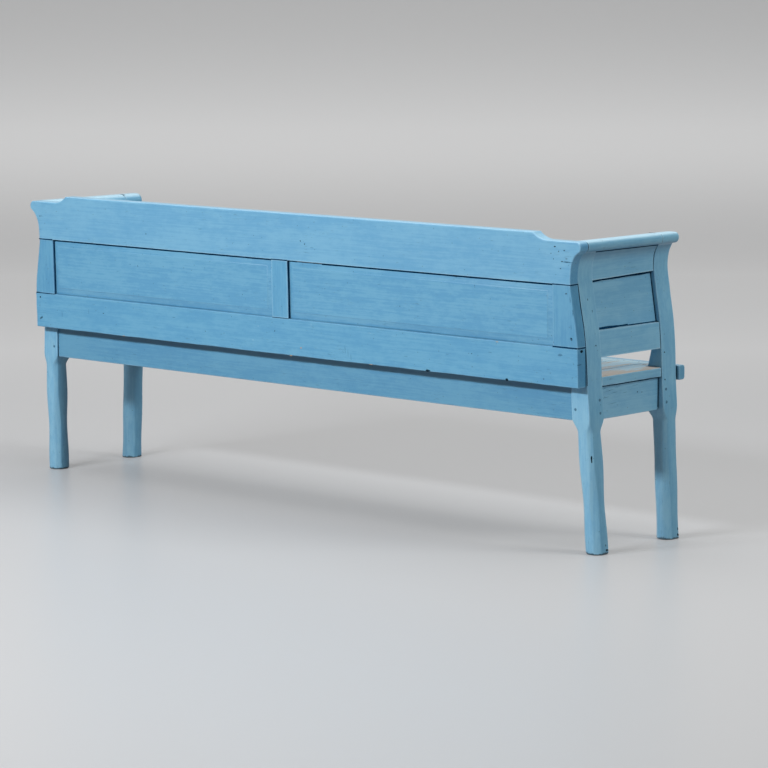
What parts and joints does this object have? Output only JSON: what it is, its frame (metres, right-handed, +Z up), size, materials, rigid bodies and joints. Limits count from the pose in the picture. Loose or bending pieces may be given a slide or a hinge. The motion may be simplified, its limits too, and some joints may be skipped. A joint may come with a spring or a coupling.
{
  "type": "pull-out bench bed",
  "caption": "Panel-back wooden settle with shaped arms, whose slatted seat slides forward on folding legs to make a bed.",
  "frame": {"origin": "on the floor, under the middle of the bounding box of the closed bench", "axes": "+X along the bench to the sitter's left, +Y to the back, +Z up; the sitter faces -Y"},
  "size_m": [2.0062, 0.4184, 0.7841],
  "materials": {
    "painted_wood": "matt oil paint, worn",
    "bare_wood": "bare, worn smooth",
    "iron": "forged, dull"
  },
  "bodies": {
    "bench": {"back_apron": "painted_wood", "bottom_rail": "painted_wood", "crest_rail": "painted_wood", "fixed_slat_01": "bare_wood", "fixed_slat_02": "bare_wood", "fixed_slat_03": "bare_wood", "fixed_slat_04": "bare_wood", "fixed_slat_05": "bare_wood", "fixed_slat_06": "bare_wood", "fixed_slat_07": "bare_wood", "fixed_slat_08": "bare_wood", "fixed_slat_09": "bare_wood", "fixed_slat_nails": "iron", "frame_nails": "iron", "front_bearer": "bare_wood", "joint_pegs": "painted_wood", "left_arm_panel": "painted_wood", "left_arm_rail": "painted_wood", "left_arm_roll": "painted_wood", "left_back_panel": "painted_wood", "left_back_post": "painted_wood", "left_end_apron": "painted_wood", "left_end_slat": "bare_wood", "left_front_post": "painted_wood", "left_hand_rail": "painted_wood", "left_runner": "bare_wood", "left_stile": "painted_wood", "muntin": "painted_wood", "right_arm_panel": "painted_wood", "right_arm_rail": "painted_wood", "right_arm_roll": "painted_wood", "right_back_panel": "painted_wood", "right_back_post": "painted_wood", "right_end_apron": "painted_wood", "right_end_slat": "bare_wood", "right_front_post": "painted_wood", "right_hand_rail": "painted_wood", "right_runner": "bare_wood", "right_stile": "painted_wood"},
    "pull_out": {"front_apron": "painted_wood", "front_rail": "painted_wood", "left_leg_bolt": "iron", "left_leg_stop": "bare_wood", "right_leg_bolt": "iron", "right_leg_stop": "bare_wood", "sliding_slat_01": "bare_wood", "sliding_slat_02": "bare_wood", "sliding_slat_03": "bare_wood", "sliding_slat_04": "bare_wood", "sliding_slat_05": "bare_wood", "sliding_slat_06": "bare_wood", "sliding_slat_07": "bare_wood", "sliding_slat_08": "bare_wood", "sliding_slat_09": "bare_wood", "sliding_slat_10": "bare_wood", "sliding_slat_nails": "iron", "stretcher": "bare_wood"},
    "left_fold_leg": {"left_fold_leg": "bare_wood"},
    "right_fold_leg": {"right_fold_leg": "bare_wood"}
  },
  "joints": [
    {"name": "seat_pull_out", "type": "slide", "parent": "bench", "child": "pull_out", "axis": [0, -1, 0], "range_m": [0, 0.236]},
    {"name": "left_leg_fold", "type": "hinge", "parent": "pull_out", "child": "left_fold_leg", "pos_m": [-0.85, -0.14366, 0.3465], "axis": [0, 1, 0], "range_deg": [0, 90]},
    {"name": "right_leg_fold", "type": "hinge", "parent": "pull_out", "child": "right_fold_leg", "pos_m": [0.85, -0.14366, 0.3465], "axis": [0, -1, 0], "range_deg": [0, 90]}
  ]
}
